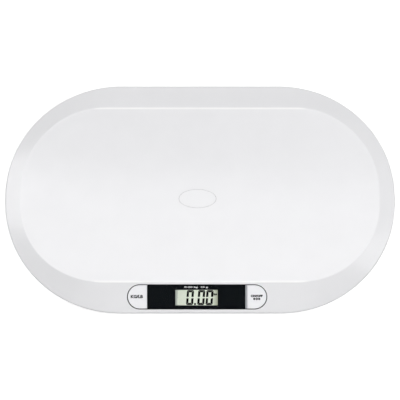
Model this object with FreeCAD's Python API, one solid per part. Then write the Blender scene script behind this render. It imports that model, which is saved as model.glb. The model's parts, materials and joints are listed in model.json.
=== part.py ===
import FreeCAD, Part
import math
import os

# Digital baby weighing scale.  Millimetres, +Z up, +X along the tray, -Y towards the reader.
# The origin is on the floor, under the middle of the tray.
Vector = FreeCAD.Vector
X_AXIS = Vector(1, 0, 0)
Z_AXIS = Vector(0, 0, 1)
ORIGIN = Vector(0, 0, 0)

# ---- tray -----------------------------------------------------------------------------
length = 550.0
depth = 334.0
end_flat = 8.5             # straight stretch at each end of the outline
edge_height = 30.0         # top of the outer edge
skirt_height = 3.5         # upright rim under the outer edge
floor_height = 35.4        # lowest line of the hollow
ridge_height = 49.6        # front and back ridges
front_band = 39.4          # plan width of the sloping band at front and back
end_band = 22.0            # plan width of the band at the ends
ridge_end_flat = 20.0      # straight stretch at each end of the ridge line
wall = 2.5
ridge_fillet = 2.4
edge_fillet = 2.4
seam_turn = 10.0           # degrees, where the tray's edges start to be counted
rib_thickness = 1.6
tray_rib_bottom = 29.0
tray_rib_x = (-140.0, -45.0, 45.0, 140.0)
tray_rib_y = (-50.0, 50.0)
tray_rib_end_gap = 16.0    # from the ends of the ribs to the ridge line
same_level = 0.001         # how closely an edge lies in a level plane

# ---- badge oval in the middle of the hollow -------------------------------------------
badge_length = 52.0
badge_width = 26.8
badge_shift = -3.5         # along the tray, from its middle
badge_forward = 2.2        # from the tray's middle towards the front
badge_thickness = 1.6
badge_gap = 0.4

# ---- base -----------------------------------------------------------------------------
base_bottom = 7.0
base_taper = 21.0          # how far the base draws in from rim to bottom
base_rim_inset = 1.0
base_fillet = 5.0
seam_gap = 0.2
lip_thickness = 1.6
lip_height = 1.2
base_rib_top = 15.0
base_rib_x = (-60.0, 60.0)
base_rib_y = (-50.0, 50.0)

# ---- screws that close the case -------------------------------------------------------
side_screw_x = 100.0
side_screw_inset = 55.0    # from the front and back of the outline
end_screw_inset = 47.0     # from the ends of the outline
end_screw_y = 45.0
case_shank_radius = 1.45
case_head_radius = 2.9
case_head_height = 1.9
case_screw_length = 14.0
screw_play = 0.05
case_head_seat = 12.5
case_tower_top = 16.0
tower_wall = 2.0
recess_arm = 0.62          # half length of the cross recess, of the head's radius
recess_slot = 0.28         # half width of the recess, of the head's radius
recess_floor = 0.4         # height left over the recess, of the head's height
head_round = 0.45          # of the head's height
tip_round = 0.3            # blunt end of the tip, of the shank's radius

# ---- control panel, in its own frame: x along, y up the slope, z out ------------------
panel_from_edge = 22.8     # slope distance from the outer edge to the middle of the panel
panel_shift = -4.0         # along the tray, from its middle to the middle of the panel
panel_length = 195.4
panel_width = 35.8
pocket_depth = 2.6
pocket_floor = 2.0
pocket_rim = 2.6
gasket_wall = 1.05
gasket_drop = 0.15
key_gap = 0.25             # between the gasket and what it surrounds
part_gap = 0.4
lens_length = 139.0
lens_thickness = 2.1
lens_drop = 0.1
lens_bevel = 0.6
print_gap = 0.06           # glue line between the lens and its print
mask_thickness = 0.1
lens_corner = 1.2
window_length = 59.1
window_width = 22.0
window_low = 1.45          # of the window's middle, under the panel's middle line
window_shift = -0.85       # of the window's middle, along the panel

# ---- keys -----------------------------------------------------------------------------
key_travel = 0.5
key_rise = 0.2
key_bottom_gap = 0.8
key_edge = 0.45
stem_radius = 2.6
stem_play = 0.35
hook_offset = 10.5
hook_length = 3.2
hook_thickness = 1.4
hook_barb = 0.9
hook_barb_height = 1.2
hook_play = 0.45
hook_rest_gap = 0.1

# ---- display and board ----------------------------------------------------------------
lcd_length = 68.0
lcd_width = 28.6
lcd_glass_thickness = 1.1
lcd_ledge = 3.0
lcd_gap = 0.25
frame_rim = 3.2            # of the display frame, at its ends
frame_side = 1.5           # of the display frame, along its sides
strip_width = 2.2
strip_inset = 1.4
board_length = 184.6
board_margin = 0.2
board_thickness = 1.6
board_corner = 2.0
board_face = 8.8           # depth of the board's face under the panel's outer face
board_screw_x = 58.0
board_screw_y = 11.5
board_shank_radius = 1.1
board_head_radius = 2.2
board_head_height = 1.4
board_screw_length = 4.6
board_post_radius = 2.8
switch_size = 6.2
switch_height = 3.4
switch_leg = 0.6
switch_leg_row = 2.1       # of the legs, from the middle of the switch
plunger_radius = 1.7
plunger_seat = 0.8         # length of the plunger inside its switch
plunger_play = 0.3
socket_size = (7.6, 5.6, 4.0)
socket_row = 6.0
chip_edge = 0.25
chip_sizes = ((0.0, -7.0, 12.0, 12.0, 1.2), (-26.0, -8.0, 9.0, 6.5, 1.6), (24.0, -8.0, 11.0, 4.2, 3.6),
              (44.0, -8.0, 5.0, 3.0, 1.1), (-44.0, -8.0, 5.0, 3.0, 1.1), (-80.0, 3.0, 8.0, 8.0, 3.2))

# ---- feet and load cells --------------------------------------------------------------
foot_inset_x = 97.0        # from the ends of the outline
foot_inset_y = 83.0        # from the front and back of the outline
pad_radius = 19.0
pad_thickness = 3.2
pad_recess = 1.6
pad_edge = 0.6
pad_groove_radii = (7.0, 13.0)
pad_groove = 1.0
pad_play = 0.2
cup_radius = 23.5
cup_wall = 2.0
cup_top = 11.0
cup_floor = 1.0
cup_edge = 0.8
post_radius = 5.0
pin_radius = 1.4
pin_play = 0.35
foot_travel = 0.5
cell_side = 34.0
cell_thickness = 1.8
cell_bottom = 13.2
cell_corner = 3.0
cell_slot = 2.2
cell_tongue = 18.6
cell_slot_end = 8.0
cell_play = 0.3
holder_bottom = 12.2
holder_relief = 1.5
holder_play = 0.4
well_radius = 25.6
well_roof = 18.0
seal_length = 12.0
seal_width = 5.0
seal_height = 1.2
seal_y = 13.2
holder_screw_x = 21.3
holder_shank_radius = 1.1
holder_head_radius = 2.1
holder_head_height = 1.3
holder_screw_length = 8.6
holder_boss_top = 25.0

# ---- leads ----------------------------------------------------------------------------
lead_radius = 1.1
lead_level = 24.0
lead_drop = 8.0
lead_hole_play = 0.9
bend_share = 0.45
longest_bend = 12.0
front_socket_x = 70.0
rear_socket_x = 50.0
battery_socket_x = 30.0
front_lead_bend = (86.0, -90.0)
rear_lead_bends = ((62.0, -42.0), (82.0, 42.0))
battery_lead_gap = 14.0    # from the battery bay to its leads
battery_lead_y = -58.0

# ---- batteries ------------------------------------------------------------------------
cell_count = 4
battery_radius = 5.2
battery_length = 43.3
nub_radius = 1.9
nub_height = 1.0
battery_pitch = 10.9
battery_clear = 0.5        # over the door and under the roof
contact_thickness = 0.5
contact_width = 7.0
contact_height = 8.0
leaf_depth = 3.6
tab_width = 3.0
tab_rise = 4.0
tab_slot_play = 0.3
bay_wall = 2.0
bay_side_gap = 1.4
door_thickness = 2.0
door_ledge = 1.4
door_play = 0.3
door_seat_gap = 0.1
hinge_roll = 1.5           # radius of the door's rear edge
hinge_pin_radius = 0.8
hinge_pin_length = 1.6
hinge_pin_play = 0.2
hinge_boss_width = 6.0
hinge_boss_height = 4.6
hinge_boss_depth = 3.0
latch_width = 12.0
latch_thickness = 1.3
latch_height = 3.0
latch_gap = 0.4
grip_groove = 0.8
grip_count = 5
grip_edge_gap = 4.8


# ---- plain shapes ---------------------------------------------------------------------
def box(x0, x1, y0, y1, z0, z1):
    return Part.makeBox(x1 - x0, y1 - y0, z1 - z0, Vector(x0, y0, z0))


def centred_box(x, y, size_x, size_y, z0, z1):
    return box(x - size_x / 2, x + size_x / 2, y - size_y / 2, y + size_y / 2, z0, z1)


def cylinder(x, y, radius, z0, z1):
    return Part.makeCylinder(radius, z1 - z0, Vector(x, y, z0), Z_AXIS)


def rod(y, z, radius, half_length):
    """Cylinder along X about the middle plane."""
    return Part.makeCylinder(radius, 2 * half_length, Vector(-half_length, y, z), X_AXIS)


def ellipse_prism(size_x, size_y, z0, z1):
    edge = Part.Ellipse(Vector(0, 0, z0), size_x / 2, size_y / 2).toShape()
    return Part.Face(Part.Wire(edge)).extrude(Vector(0, 0, z1 - z0))


def rounded_outline(size_x, size_y, flat_y, z):
    """Rounded rectangle whose ends keep a straight stretch of flat_y."""
    radius = (size_y - flat_y) / 2
    reach_x = size_x / 2
    reach_y = size_y / 2
    centre_x = reach_x - radius
    centre_y = flat_y / 2
    slant = radius / math.sqrt(2)
    edges = []
    here = Vector(-centre_x, -reach_y, z)
    for sx, sy in ((1, -1), (1, 1), (-1, 1), (-1, -1)):
        front = Vector(sx * centre_x, sy * reach_y, z)
        side = Vector(sx * reach_x, sy * centre_y, z)
        corner = Vector(sx * (centre_x + slant), sy * (centre_y + slant), z)
        start, end = (front, side) if sx * sy < 0 else (side, front)
        edges.append(Part.makeLine(here, start))
        edges.append(Part.Arc(start, corner, end).toShape())
        here = end
    return Part.Wire(edges)


def rounded_prism(size_x, size_y, flat_y, z0, z1):
    return Part.Face(rounded_outline(size_x, size_y, flat_y, z0)).extrude(Vector(0, 0, z1 - z0))


def rounded_plate(size_x, size_y, corner, z0, z1):
    return rounded_prism(size_x, size_y, size_y - 2 * corner, z0, z1)


def moved(shape, x, y, z=0.0):
    copy = shape.copy()
    copy.translate(Vector(x, y, z))
    return copy


def level_edges(shape, z):
    """The edges that lie in the level plane at height z."""
    return [e for e in shape.Edges
            if abs(e.BoundBox.ZMin - z) < same_level and abs(e.BoundBox.ZMax - z) < same_level]


def outer_level_edges(shape, z):
    """The edges of the widest loop in the level plane at height z."""
    edges = level_edges(shape, z)
    widest = max(Part.sortEdges(edges), key=lambda loop: Part.Wire(loop).BoundBox.DiagonalLength)
    return widest


def screw(shank_radius, shank_length, head_radius, head_height):
    """Pan-head screw, head under the origin plane, shank upwards, with a cross recess."""
    tip = shank_radius
    arm = 2 * head_radius * recess_arm
    slot = 2 * head_radius * recess_slot
    recess_top = -head_height * recess_floor
    body = Part.makeCylinder(head_radius, head_height, Vector(0, 0, -head_height), Z_AXIS)
    body = body.makeFillet(head_height * head_round, level_edges(body, -head_height))
    body = body.fuse(Part.makeCylinder(shank_radius, shank_length - tip))
    tip_start = Vector(0, 0, shank_length - tip)
    body = body.fuse(Part.makeCone(shank_radius, shank_radius * tip_round, tip, tip_start))
    for size_x, size_y in ((arm, slot), (slot, arm)):
        body = body.cut(centred_box(0, 0, size_x, size_y, -head_height, recess_top))
    return body.removeSplitter()


def lead(points):
    """Round lead along straight runs joined by tangent arcs."""
    edges = []
    here = points[0]
    for before, corner, after in zip(points, points[1:], points[2:]):
        run_in = corner - before
        run_out = after - corner
        turn = run_in.getAngle(run_out)
        reach = bend_share * min(run_in.Length, run_out.Length)
        reach = min(reach, longest_bend * math.tan(turn / 2))
        radius = reach / math.tan(turn / 2)
        direction_in = Vector(run_in).normalize()
        direction_out = Vector(run_out).normalize()
        start = corner - direction_in * reach
        end = corner + direction_out * reach
        inward = Vector(direction_out - direction_in).normalize()
        middle = corner + inward * (radius / math.cos(turn / 2) - radius)
        edges.append(Part.makeLine(here, start))
        edges.append(Part.Arc(start, middle, end).toShape())
        here = end
    edges.append(Part.makeLine(here, points[-1]))
    path = Part.Wire(edges)
    profile = Part.Wire(Part.Circle(points[0], points[1] - points[0], lead_radius).toShape())
    return path.makePipeShell([profile], True, False)


# ---- tray form ------------------------------------------------------------------------
front_slope = math.atan((ridge_height - edge_height) / front_band)
end_slope = math.atan((floor_height - edge_height) / end_band)
ridge_half_depth = depth / 2 - front_band
ridge_rise = ridge_height - floor_height
valley_radius = (ridge_half_depth ** 2 + ridge_rise ** 2) / (2 * ridge_rise)
valley_slope = math.asin(ridge_half_depth / valley_radius)
skirt_bottom = edge_height - skirt_height
base_rim_top = skirt_bottom - seam_gap
tall = 2 * ridge_height
corners = [(-1, -1), (-1, 1), (1, -1), (1, 1)]
foot_spots = [(sx * (length / 2 - foot_inset_x), sy * (depth / 2 - foot_inset_y)) for sx, sy in corners]
case_screw_spots = [(sx * side_screw_x, sy * (depth / 2 - side_screw_inset)) for sx, sy in corners]
case_screw_spots += [(sx * (length / 2 - end_screw_inset), sy * end_screw_y) for sx, sy in corners]


def valley(inset):
    """Cylinder of the hollow, sunk by inset."""
    radius = valley_radius + inset
    centre = floor_height + valley_radius
    return Part.makeCylinder(radius, 2 * length, Vector(-length, 0, centre), X_AXIS)


def ridge_shift(inset):
    """Plan shift of the ridge line when band and hollow both sink by inset."""
    gain = 1 / math.cos(front_slope) - 1 / math.cos(valley_slope)
    return inset * gain / (math.tan(front_slope) + math.tan(valley_slope))


def turn_about(edge):
    """Angle of an edge's middle round the tray, counted from just before the right end."""
    middle = edge.CenterOfMass
    return (math.atan2(middle.y, middle.x) + math.radians(seam_turn)) % math.tau


def hollow_face(form, radius):
    """The form's face on the hollow's cylinder."""
    round_faces = [f for f in form.Faces if isinstance(f.Surface, Part.Cylinder)]
    return min(round_faces, key=lambda f: abs(f.Surface.Radius - radius))


def tray_form(inset):
    """Solid block under the tray's skin: level outline, sloping band and hollow top."""
    size_x = length - 2 * inset
    size_y = depth - 2 * inset
    edge_z = edge_height + inset * math.tan(end_slope) - inset / math.cos(end_slope)
    shift = ridge_shift(inset)
    ridge_x = length - 2 * end_band - 2 * shift
    ridge_y = depth - 2 * front_band - 2 * shift
    outline = rounded_outline(size_x, size_y, end_flat, edge_z)
    core = rounded_prism(ridge_x, ridge_y, ridge_end_flat, skirt_bottom, tall).cut(valley(inset))
    top = hollow_face(core, valley_radius + inset)
    faces = [top]
    low_edges = sorted(outline.Edges, key=turn_about)
    high_edges = sorted(top.OuterWire.Edges, key=turn_about)
    for low, high in zip(low_edges, high_edges):
        faces.append(Part.makeRuledSurface(low, high))
    faces += outline.extrude(Vector(0, 0, skirt_bottom - edge_z)).Faces
    faces.append(Part.Face(rounded_outline(size_x, size_y, end_flat, skirt_bottom)))
    shell = Part.makeShell(faces)
    shell.sewShape()
    form = Part.makeSolid(shell)
    if form.Volume < 0:
        form.reverse()
    return form


def tray_skin():
    """Outer form with its ridge and outer edge rounded."""
    form = tray_form(0)
    form = form.makeFillet(ridge_fillet, hollow_face(form, valley_radius).OuterWire.Edges)
    form = form.makeFillet(edge_fillet, outer_level_edges(form, edge_height))
    return form


# ---- control panel frame --------------------------------------------------------------
panel_y = -depth / 2 + panel_from_edge * math.cos(front_slope)
panel_z = edge_height + panel_from_edge * math.sin(front_slope)
panel_place = FreeCAD.Placement(Vector(panel_shift, panel_y, panel_z),
                                FreeCAD.Rotation(X_AXIS, math.degrees(front_slope)))
pocket_bottom = -pocket_depth
floor_under = pocket_bottom - pocket_floor
lens_top = -lens_drop
lens_bottom = lens_top - lens_thickness
mask_top = lens_bottom - print_gap
mask_bottom = mask_top - mask_thickness
inset_length = panel_length - 2 * (gasket_wall + key_gap)
inset_width = panel_width - 2 * (gasket_wall + key_gap)
lcd_top = pocket_bottom - part_gap / 2
lcd_bottom = lcd_top - 2 * lcd_glass_thickness
board_top = -board_face
board_bottom = board_top - board_thickness
board_width = lcd_width + 2 * (frame_side + board_margin)
cap_length = (inset_length - lens_length) / 2 - part_gap
key_middle = lens_length / 2 + part_gap + cap_length / 2
cap_bottom = pocket_bottom + key_bottom_gap
key_side = cap_length - inset_width / 2
key_round = min(key_edge, key_side / 2)      # stays within the straight sides of the keys
switch_top = board_top + switch_height
plunger_bottom = switch_top - plunger_seat
plunger_top = switch_top + key_travel + part_gap / 2
board_screws_at = [(sx * board_screw_x, sy * board_screw_y) for sx in (-1, 1) for sy in (-1, 1)]


def on_panel(shape):
    """Take a shape from the panel's own frame to the scale's frame."""
    copy = shape.copy()
    copy.Placement = panel_place.multiply(copy.Placement)
    return copy


def panel_point(x, y, z):
    return panel_place.multVec(Vector(x, y, z))


def capsule(size_x, size_y, z0, z1):
    """Flat prism with two round ends."""
    radius = size_y / 2
    reach = size_x / 2 - radius
    edges = []
    for sign in (-1, 1):
        start = Vector(sign * reach, sign * radius, z0)
        end = Vector(sign * reach, -sign * radius, z0)
        edges.append(Part.Arc(start, Vector(sign * (reach + radius), 0, z0), end).toShape())
        edges.append(Part.makeLine(end, Vector(-sign * reach, -sign * radius, z0)))
    return Part.Face(Part.Wire(edges)).extrude(Vector(0, 0, z1 - z0))


def hook_slots(key_x):
    slots = []
    for side in (-1, 1):
        slots.append(centred_box(key_x, side * hook_offset, hook_length + 2 * hook_play,
                                 hook_thickness + 2 * (hook_barb + hook_play), floor_under, pocket_bottom))
    return slots


def lip_ring(gap):
    """Ring inside the tray's skirt where the base's lip stands."""
    outer = wall + seam_gap - gap
    inner = wall + seam_gap + lip_thickness + gap
    top = skirt_bottom + lip_height + gap
    ring = rounded_prism(length - 2 * outer, depth - 2 * outer, end_flat, base_rim_top - lip_thickness, top)
    return ring.cut(rounded_prism(length - 2 * inner, depth - 2 * inner, end_flat, 0, top))


def panel_pad():
    """Thickened bed under the panel, with the posts for the board."""
    pad = capsule(panel_length + 2 * pocket_rim, panel_width + 2 * pocket_rim, floor_under, -wall / 2)
    for x, y in board_screws_at:
        pad = pad.fuse(cylinder(x, y, board_post_radius, board_top, floor_under))
    return pad


def display_room(low, high):
    """Opening that clears the display glass all round."""
    return centred_box(0, 0, lcd_length + 2 * lcd_gap, lcd_width + 2 * lcd_gap, low, high)


def panel_cuts():
    """Pocket, display opening, key bores, hook slots and pilot holes."""
    cuts = [capsule(panel_length, panel_width, pocket_bottom, wall)]
    cuts.append(display_room(floor_under, pocket_bottom))
    for sign in (-1, 1):
        cuts.append(cylinder(sign * key_middle, 0, stem_radius + stem_play, floor_under, pocket_bottom))
        cuts += hook_slots(sign * key_middle)
    pilot_top = board_bottom + board_screw_length + part_gap
    for x, y in board_screws_at:
        cuts.append(cylinder(x, y, board_shank_radius + screw_play, board_top, pilot_top))
    return cuts


# ---- tray shell -----------------------------------------------------------------------
def tray_ribs():
    reach_x = length / 2 - end_band - tray_rib_end_gap
    reach_y = ridge_half_depth - tray_rib_end_gap
    ribs = []
    for x in tray_rib_x:
        ribs.append(centred_box(x, 0, rib_thickness, 2 * reach_y, tray_rib_bottom, tall))
    for y in tray_rib_y:
        ribs.append(centred_box(0, y, 2 * reach_x, rib_thickness, tray_rib_bottom, tall))
    return ribs


def case_posts():
    radius = case_shank_radius + tower_wall
    return [cylinder(x, y, radius, case_tower_top, tall) for x, y in case_screw_spots]


def badge_cutter(gap):
    prism = ellipse_prism(badge_length + 2 * gap, badge_width + 2 * gap, skirt_bottom, tall)
    return moved(prism, badge_shift, -badge_forward).cut(tray_form(badge_thickness))


def tray_shell():
    shell = tray_skin().cut(tray_form(wall))
    under_skin = tray_form(wall / 2)
    under_skin = under_skin.fuse(rounded_prism(length - 2 * end_band, depth - 2 * front_band, ridge_end_flat,
                                               0, skirt_bottom))
    fittings = Part.makeCompound(tray_ribs() + case_posts())
    for piece in fittings.Solids:
        shell = shell.fuse(piece.common(under_skin))
    shell = shell.fuse(on_panel(panel_pad()).cut(lip_ring(seam_gap)))
    for cut in panel_cuts():
        shell = shell.cut(on_panel(cut))
    for x, y in case_screw_spots:
        pilot_top = case_head_seat + case_screw_length + screw_play
        shell = shell.cut(cylinder(x, y, case_shank_radius + screw_play, case_tower_top, pilot_top))
    return shell.cut(badge_cutter(badge_gap))


def badge_plate():
    return badge_cutter(0).common(tray_form(0)).Solids[0]


# ---- base -----------------------------------------------------------------------------
bay_inner_x = battery_length + nub_height + leaf_depth + 2 * contact_thickness
bay_inner_y = cell_count * battery_pitch + 2 * bay_side_gap
door_top = base_bottom + door_thickness
battery_axis_z = door_top + battery_clear + battery_radius
bay_roof = battery_axis_z + battery_radius + battery_clear
bay_top = bay_roof + bay_wall
recess_x = bay_inner_x / 2 + door_ledge
recess_y = bay_inner_y / 2 + door_ledge
hinge_y = recess_y - door_play - hinge_roll
hinge_z = base_bottom + hinge_roll
cell_top = cell_bottom + cell_thickness
well_top = well_roof + wall


def base_form(inset):
    """Tapered dish, drawn in by inset on every side and raised by it underneath."""
    low = base_bottom + inset
    lean = math.atan(base_taper / (base_rim_top - base_bottom))
    rim = base_rim_inset + inset / math.cos(lean)
    foot = rim + (base_rim_top - low) * math.tan(lean)
    upper = rounded_outline(length - 2 * rim, depth - 2 * rim, end_flat, base_rim_top)
    lower = rounded_outline(length - 2 * foot, depth - 2 * foot, end_flat, low)
    form = Part.makeLoft([lower, upper], True, True)
    return form.makeFillet(base_fillet, level_edges(form, low))


def base_ribs():
    bed = base_form(wall / 2)
    ribs = [centred_box(x, 0, rib_thickness, depth, base_bottom, base_rib_top) for x in base_rib_x]
    ribs += [centred_box(0, y, length, rib_thickness, base_bottom, base_rib_top) for y in base_rib_y]
    return [rib.common(bed) for rib in ribs]


def foot_well(x, y):
    """Upturned well for one foot, with the bosses for its holder's screws."""
    outer = cylinder(x, y, well_radius + wall, base_bottom, well_top)
    for side in (-1, 1):
        boss_radius = holder_shank_radius + tower_wall
        outer = outer.fuse(cylinder(x + side * holder_screw_x, y, boss_radius, well_roof, holder_boss_top))
    return outer


def foot_well_cuts(x, y):
    inward = -math.copysign(1, y)
    pilot_top = holder_bottom + holder_head_height + holder_screw_length + part_gap
    cuts = [cylinder(x, y, well_radius, 0, well_roof)]
    cuts.append(cylinder(x, y + inward * seal_y, lead_radius + lead_hole_play, well_roof, well_top))
    for side in (-1, 1):
        radius = holder_shank_radius + screw_play
        cuts.append(cylinder(x + side * holder_screw_x, y, radius, well_roof, pilot_top))
    return cuts


def battery_bay():
    return centred_box(0, 0, bay_inner_x + 2 * bay_wall, bay_inner_y + 2 * bay_wall, base_bottom, bay_top)


def hinge_bosses():
    outer = 2 * (recess_x + hinge_boss_depth)
    return centred_box(0, hinge_y, outer, hinge_boss_width, base_bottom, base_bottom + hinge_boss_height)


def battery_bay_cuts():
    """Room for the cells, recess of the door, its hinge and slots for the contact tabs."""
    cuts = [centred_box(0, 0, bay_inner_x, bay_inner_y, 0, bay_roof)]
    cuts.append(centred_box(0, 0, 2 * recess_x, 2 * recess_y, 0, door_top + door_seat_gap))
    cuts.append(rod(hinge_y, hinge_z, hinge_roll + door_play, recess_x))
    pin_reach = recess_x + hinge_pin_length
    cuts.append(rod(hinge_y, hinge_z, hinge_pin_radius + hinge_pin_play, pin_reach))
    for sign in (-1, 1):
        cuts.append(centred_box(sign * tab_x(), tab_y(), contact_thickness + 2 * tab_slot_play,
                                tab_width + 2 * tab_slot_play, bay_roof, bay_top))
    return cuts


def case_towers():
    radius = case_head_radius + tower_wall
    return [cylinder(x, y, radius, base_bottom, case_tower_top) for x, y in case_screw_spots]


def case_tower_cuts():
    cuts = []
    for x, y in case_screw_spots:
        cuts.append(cylinder(x, y, case_head_radius + part_gap, 0, case_head_seat))
        cuts.append(cylinder(x, y, case_shank_radius + part_gap, 0, case_tower_top))
    return cuts


def base_shell():
    shell = base_form(0).cut(base_form(wall))
    shell = shell.fuse(lip_ring(0))
    for piece in base_ribs() + case_towers() + [battery_bay(), hinge_bosses()]:
        shell = shell.fuse(piece)
    for x, y in foot_spots:
        shell = shell.fuse(foot_well(x, y))
    cuts = battery_bay_cuts() + case_tower_cuts()
    for x, y in foot_spots:
        cuts += foot_well_cuts(x, y)
    for cut in cuts:
        shell = shell.cut(cut)
    return shell.removeSplitter()


# ---- display --------------------------------------------------------------------------
def panel_gasket():
    """Dark rubber rim that lines the pocket's wall."""
    ring = capsule(panel_length, panel_width, pocket_bottom, -gasket_drop)
    inner_x = panel_length - 2 * gasket_wall
    inner_y = panel_width - 2 * gasket_wall
    return ring.cut(capsule(inner_x, inner_y, pocket_bottom, -gasket_drop))


def display_lens():
    blank = rounded_plate(lens_length, inset_width, lens_corner, lens_bottom, lens_top)
    return blank.makeChamfer(lens_bevel, outer_level_edges(blank, lens_top))


def lens_mask():
    """Black print behind the lens, open at the display."""
    film = rounded_plate(lens_length, inset_width, lens_corner, mask_bottom, mask_top)
    return film.cut(centred_box(window_shift, -window_low, window_length, window_width, mask_bottom, mask_top))


def lens_tape():
    """Adhesive frame between the print and the pocket's floor."""
    tape = rounded_plate(lens_length, inset_width, lens_corner, pocket_bottom, mask_bottom)
    inner_x = lcd_length + 2 * part_gap
    inner_y = lcd_width + 2 * part_gap
    return tape.cut(centred_box(0, 0, inner_x, inner_y, pocket_bottom, mask_bottom))


def lcd_glass():
    """Two glass plates, the rear one shorter than the front one's contact ledge."""
    middle = lcd_top - lcd_glass_thickness
    front = centred_box(0, 0, lcd_length, lcd_width, middle, lcd_top)
    rear = centred_box(0, lcd_ledge / 2, lcd_length, lcd_width - lcd_ledge, lcd_bottom, middle)
    return front.fuse(rear).removeSplitter()


def strip_y():
    return -lcd_width / 2 + lcd_gap + strip_inset


def lcd_frame():
    """Holder that carries the glass over the board and stands round the contact strip."""
    outer_x = lcd_length + 2 * frame_rim
    outer_y = lcd_width + 2 * frame_side
    frame = rounded_plate(outer_x, outer_y, frame_side, board_top, floor_under)
    frame = frame.cut(display_room(lcd_bottom, floor_under))
    inner_x = lcd_length - 2 * frame_rim
    inner_y = lcd_width - 2 * (strip_inset + strip_width)
    frame = frame.cut(centred_box(0, 0, inner_x, inner_y, board_top, floor_under))
    slot = centred_box(0, strip_y(), inner_x, strip_width + 2 * screw_play, board_top, floor_under)
    return frame.cut(slot)


def lcd_strip():
    """Rubber contact strip between the board and the glass ledge."""
    inner_x = lcd_length - 2 * frame_rim - 2 * lcd_gap
    return centred_box(0, strip_y(), inner_x, strip_width, board_top, lcd_top - lcd_glass_thickness)


# ---- board ----------------------------------------------------------------------------
def main_board():
    board = rounded_plate(board_length, board_width, board_corner, board_bottom, board_top)
    for x, y in board_screws_at:
        board = board.cut(cylinder(x, y, board_shank_radius + part_gap, board_bottom, board_top))
    return board


def board_screws():
    one = screw(board_shank_radius, board_screw_length, board_head_radius, board_head_height)
    return Part.makeCompound([moved(one, x, y, board_bottom) for x, y in board_screws_at])


def chip(x, y, size_x, size_y, height):
    body = centred_box(x, y, size_x, size_y, board_bottom - height, board_bottom)
    return body.makeChamfer(chip_edge, level_edges(body, board_bottom - height))


def board_chips():
    return Part.makeCompound([chip(*row) for row in chip_sizes])


def socket_columns():
    columns = []
    for sign in (-1, 1):
        columns += [sign * front_socket_x, sign * rear_socket_x, sign * battery_socket_x]
    return columns


def board_sockets():
    """Blocks on the board in which the leads end."""
    size_x, size_y, height = socket_size
    blocks = []
    for x in socket_columns():
        block = centred_box(x, socket_row, size_x, size_y, board_bottom - height, board_bottom)
        blocks.append(block.makeChamfer(chip_edge, level_edges(block, board_bottom - height)))
    return Part.makeCompound(blocks)


def tact_switch(sign):
    """Switch body with its plunger's bore and four legs on the board."""
    size = switch_size
    body = centred_box(0, 0, size, size, board_top, switch_top)
    body = body.makeChamfer(switch_leg / 2, level_edges(body, switch_top))
    bore_bottom = plunger_bottom - key_travel - part_gap
    body = body.cut(cylinder(0, 0, plunger_radius + plunger_play, bore_bottom, switch_top))
    for sx in (-1, 1):
        for sy in (-1, 1):
            leg = centred_box(sx * (size / 2 + switch_leg), sy * switch_leg_row, 2 * switch_leg, switch_leg,
                              board_top, board_top + switch_leg)
            body = body.fuse(leg)
    return moved(body.removeSplitter(), sign * key_middle, 0)


def switch_plunger(sign):
    pin = cylinder(0, 0, plunger_radius, plunger_bottom, plunger_top)
    return moved(pin, sign * key_middle, 0)


def key(sign):
    """Key cap with one round end, its stem and two snap hooks."""
    cap = capsule(inset_length, inset_width, cap_bottom, key_rise)
    inner = lens_length / 2 + part_gap
    cap = cap.common(centred_box(inner + cap_length, 0, 2 * cap_length, panel_width, cap_bottom, key_rise))
    cap = cap.makeFillet(key_round, level_edges(cap, key_rise))
    cap = cap.fuse(cylinder(key_middle, 0, stem_radius, plunger_top, cap_bottom))
    for side in (-1, 1):
        hook_bottom = floor_under - hook_rest_gap - hook_barb_height
        y = side * hook_offset
        leg = centred_box(key_middle, y, hook_length, hook_thickness, hook_bottom, cap_bottom)
        barb = centred_box(key_middle, y + side * (hook_thickness + hook_barb) / 2, hook_length, hook_barb,
                           hook_bottom, hook_bottom + hook_barb_height)
        cap = cap.fuse(leg.fuse(barb))
    cap = cap.removeSplitter()
    if sign < 0:
        cap = cap.mirror(ORIGIN, X_AXIS)
    return cap


# ---- feet and load cells --------------------------------------------------------------
def foot_cup():
    """Round foot with a post and pin that carry the load cell's tongue."""
    cup = Part.makeCylinder(cup_radius, cup_top - pad_recess, Vector(0, 0, pad_recess))
    cup = cup.makeFillet(cup_edge, level_edges(cup, pad_recess))
    cup = cup.cut(cylinder(0, 0, cup_radius - cup_wall, pad_thickness + cup_floor, cup_top))
    cup = cup.cut(cylinder(0, 0, pad_radius + pad_play, 0, pad_thickness))
    cup = cup.fuse(cylinder(0, 0, post_radius, pad_thickness + cup_floor, cell_bottom))
    cup = cup.fuse(cylinder(0, 0, pin_radius, cell_bottom, cell_top))
    inner = cup_radius - cup_wall / 2
    for size_x, size_y in ((inner, rib_thickness / 2), (rib_thickness / 2, inner)):
        cup = cup.fuse(centred_box(0, 0, 2 * size_x, 2 * size_y, pad_thickness + cup_floor, cup_top))
    return cup.removeSplitter()


def foot_pad():
    """Rubber pad with ring grooves in its underside."""
    pad = cylinder(0, 0, pad_radius, 0, pad_thickness)
    pad = pad.makeFillet(pad_edge, level_edges(pad, 0))
    for radius in pad_groove_radii:
        ring = cylinder(0, 0, radius + pad_groove, 0, pad_groove)
        pad = pad.cut(ring.cut(cylinder(0, 0, radius, 0, pad_groove)))
    return pad


def load_cell():
    """Steel plate whose tongue is cut free on three sides, with the pin's hole in it."""
    plate = rounded_plate(cell_side, cell_side, cell_corner, cell_bottom, cell_top)
    outer = cell_tongue / 2 + cell_slot
    for side in (-1, 1):
        x = side * (cell_tongue / 2 + cell_slot / 2)
        plate = plate.cut(centred_box(x, (cell_slot_end - outer) / 2, cell_slot, cell_slot_end + outer,
                                      cell_bottom, cell_top))
    plate = plate.cut(centred_box(0, -outer + cell_slot / 2, 2 * outer, cell_slot, cell_bottom, cell_top))
    return plate.cut(cylinder(0, 0, pin_radius + pin_play, cell_bottom, cell_top))


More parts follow.
